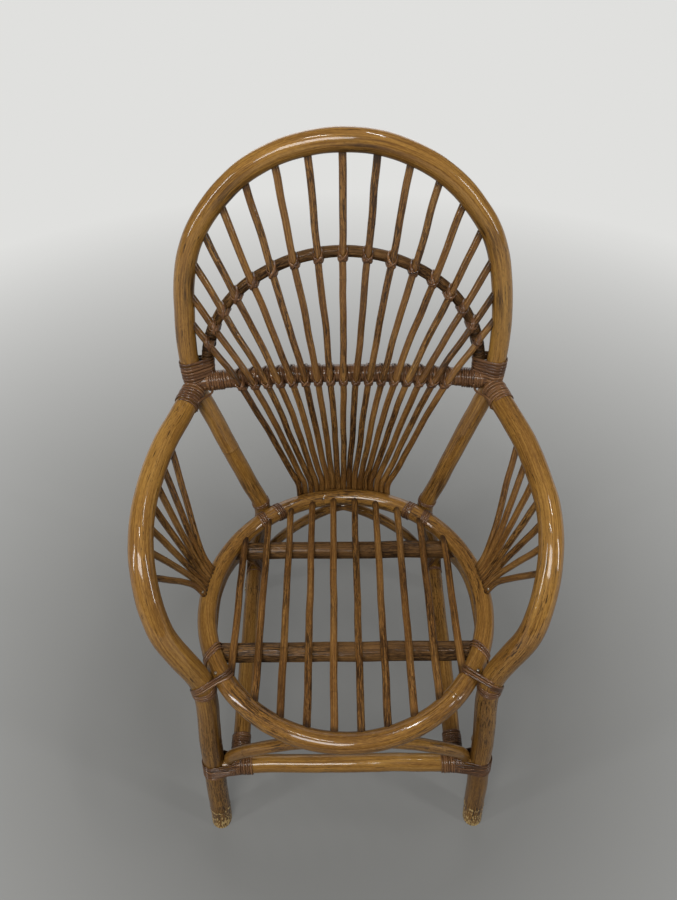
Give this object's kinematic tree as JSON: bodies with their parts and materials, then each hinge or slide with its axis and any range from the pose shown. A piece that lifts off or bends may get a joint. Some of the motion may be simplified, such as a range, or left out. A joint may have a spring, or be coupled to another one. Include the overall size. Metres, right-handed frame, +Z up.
{
  "type": "peacock chair",
  "caption": "Rattan peacock armchair: a round hoop back filled with a fan of canes, bent pole arms that run on as front legs, and an open slatted round seat on arched legs.",
  "frame": {"origin": "on the ground, under the middle of the bounding box", "axes": "+X to the right seen from the front, the chair faces -Y, +Z up"},
  "size_m": [0.6046, 0.5528, 1.0099],
  "materials": {
    "pole": "glossy varnished rattan pole, golden brown with dark streaks and specks",
    "cane": "varnished thin rattan cane, mid brown with dark flecks",
    "core": "darker peeled rattan core with fine lengthwise ribs",
    "peel": "dark brown rattan peel strip, satin"
  },
  "bodies": {
    "root": {"seat_ring": "pole", "back_hoop": "pole", "arm_and_front_leg_left": "pole", "arm_and_front_leg_right": "pole", "front_stretcher": "pole", "side_stretcher_left": "pole", "side_stretcher_right": "pole", "front_arch": "pole", "rear_arch": "pole", "side_arch_left": "pole", "side_arch_right": "pole", "back_crossbar": "core", "back_arch": "core", "seat_bearer_front": "core", "seat_bearer_rear": "core", "fan_cane_01": "cane", "fan_cane_02": "cane", "fan_cane_03": "cane", "fan_cane_04": "cane", "fan_cane_05": "cane", "fan_cane_06": "cane", "fan_cane_07": "cane", "fan_cane_08": "cane", "fan_cane_09": "cane", "fan_cane_10": "cane", "fan_cane_11": "cane", "fan_cane_12": "cane", "fan_cane_13": "cane", "fan_cane_14": "cane", "fan_cane_15": "cane", "fan_cane_16": "cane", "fan_cane_17": "cane", "seat_slat_01": "cane", "seat_slat_02": "cane", "seat_slat_03": "cane", "seat_slat_04": "cane", "seat_slat_05": "cane", "seat_slat_06": "cane", "seat_slat_07": "cane", "seat_slat_08": "cane", "seat_slat_09": "cane", "seat_slat_10": "cane", "arm_fan_left": "cane", "arm_fan_right": "cane", "arm_binding_left": "peel", "arm_binding_right": "peel", "crossbar_binding_left": "peel", "crossbar_binding_right": "peel", "hoop_binding_left": "peel", "hoop_binding_right": "peel", "post_lashing_left": "peel", "post_lashing_right": "peel", "arm_lashing_left": "peel", "arm_lashing_right": "peel", "front_stretcher_binding_left": "peel", "front_stretcher_binding_right": "peel", "side_stretcher_binding_left": "peel", "side_stretcher_binding_right": "peel", "rear_leg_binding_left": "peel", "rear_leg_binding_right": "peel"}
  },
  "joints": []
}
